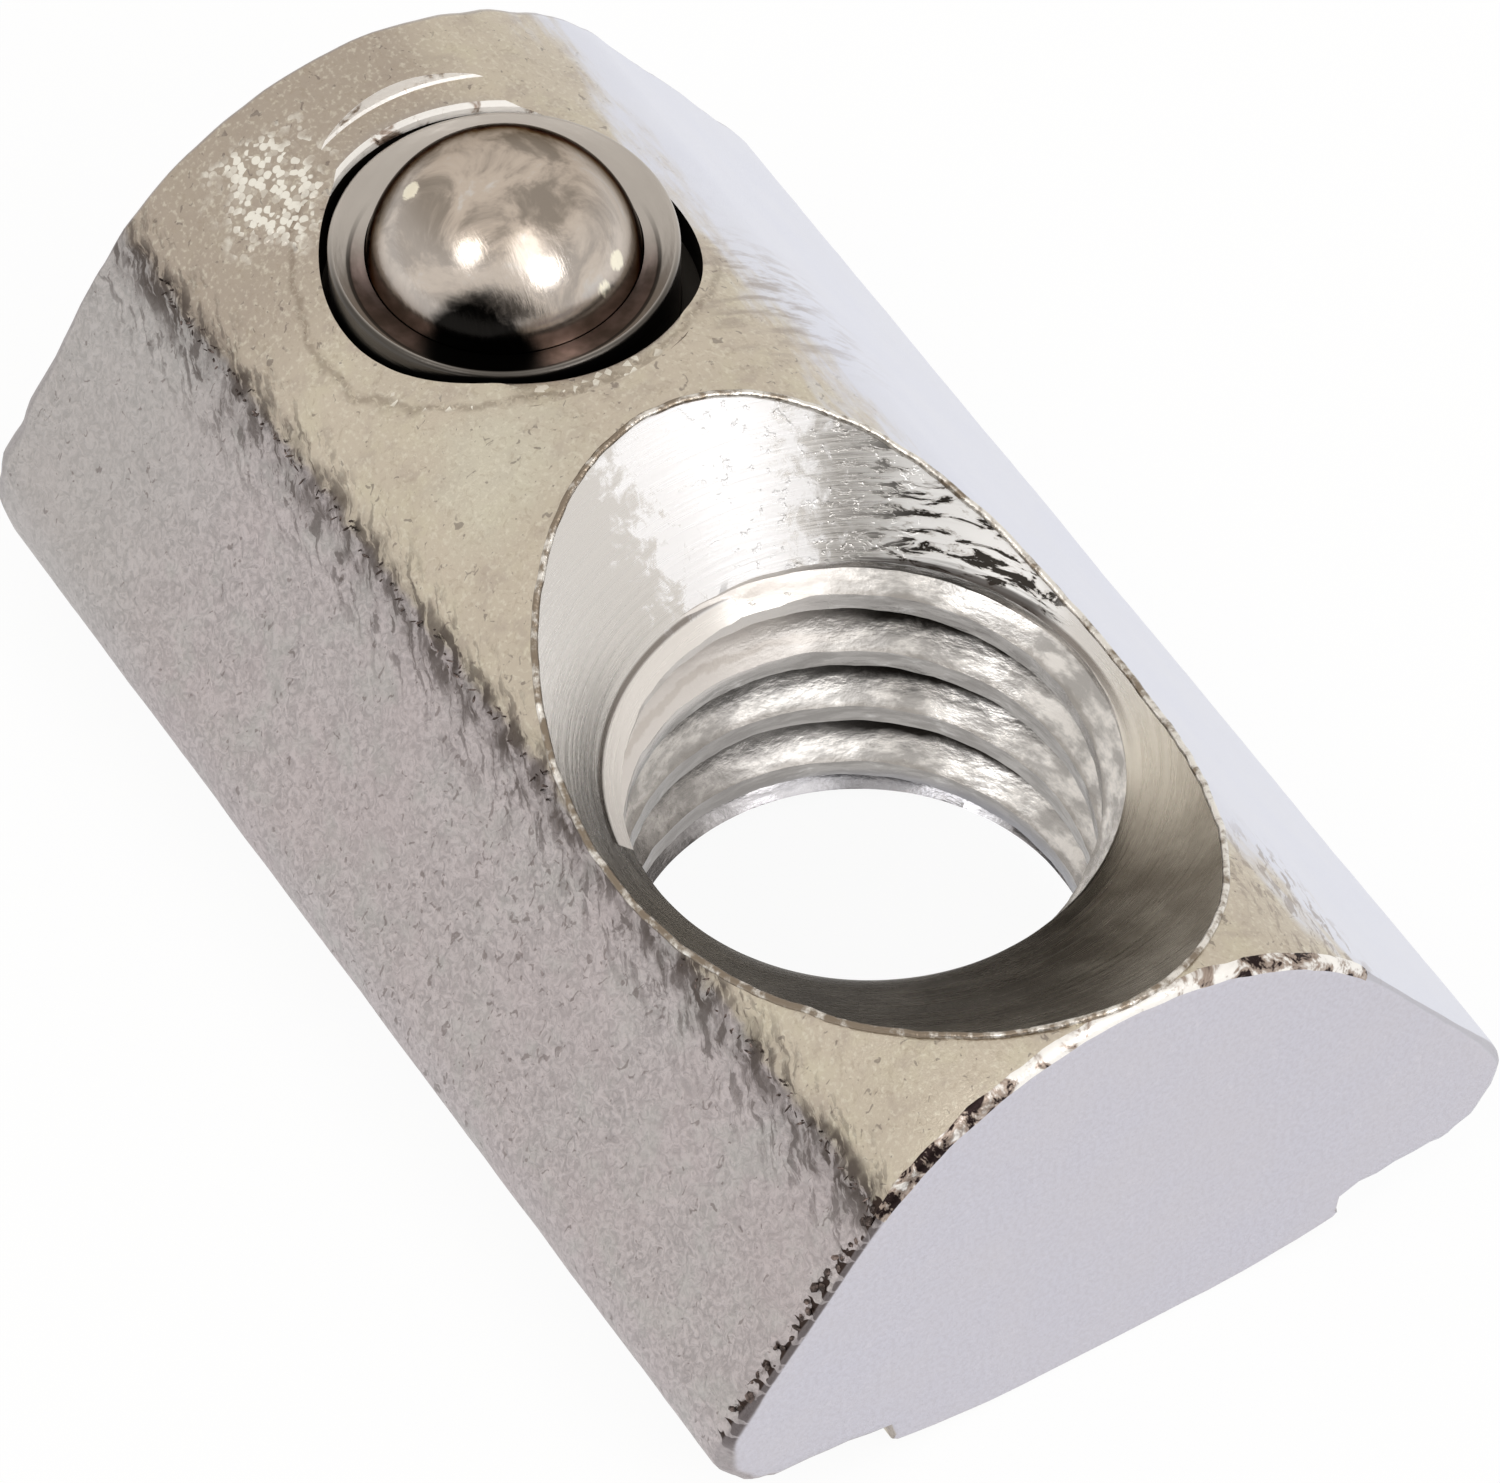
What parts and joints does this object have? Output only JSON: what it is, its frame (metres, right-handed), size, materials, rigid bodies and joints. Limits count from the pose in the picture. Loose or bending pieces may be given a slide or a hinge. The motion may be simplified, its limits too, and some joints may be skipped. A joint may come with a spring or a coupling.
{
  "type": "t slot nut",
  "caption": "T slot nut with an arched back, sloping sides, a threaded through hole with a wide countersink, and a spring-loaded ball that holds it in the slot.",
  "frame": {"origin": "on the axis of the threaded hole, at the lowest line of the neck, where the screw enters", "axes": "+X along the slot, from the ball towards the threaded end; +Y across the slot; +Z from the neck towards the arched back, the way the screw goes in and the ball stands out"},
  "size_m": [0.0206, 0.0128, 0.0088],
  "materials": {
    "plated_steel": "dull zinc plating with a fine grain",
    "sleeve_steel": "satin",
    "polished_steel": "polished",
    "spring_steel": "drawn wire"
  },
  "bodies": {
    "nut": {"nut_body": "plated_steel", "plunger_sleeve": "sleeve_steel", "spring": "spring_steel"},
    "detent_ball": {"ball": "polished_steel"}
  },
  "joints": [
    {"name": "ball_press", "type": "slide", "parent": "nut", "child": "detent_ball", "axis": [0, 0, -1], "range_m": [0, 0.0009], "stiffness_N_per_m": 5000, "deforming": ["spring"]}
  ]
}
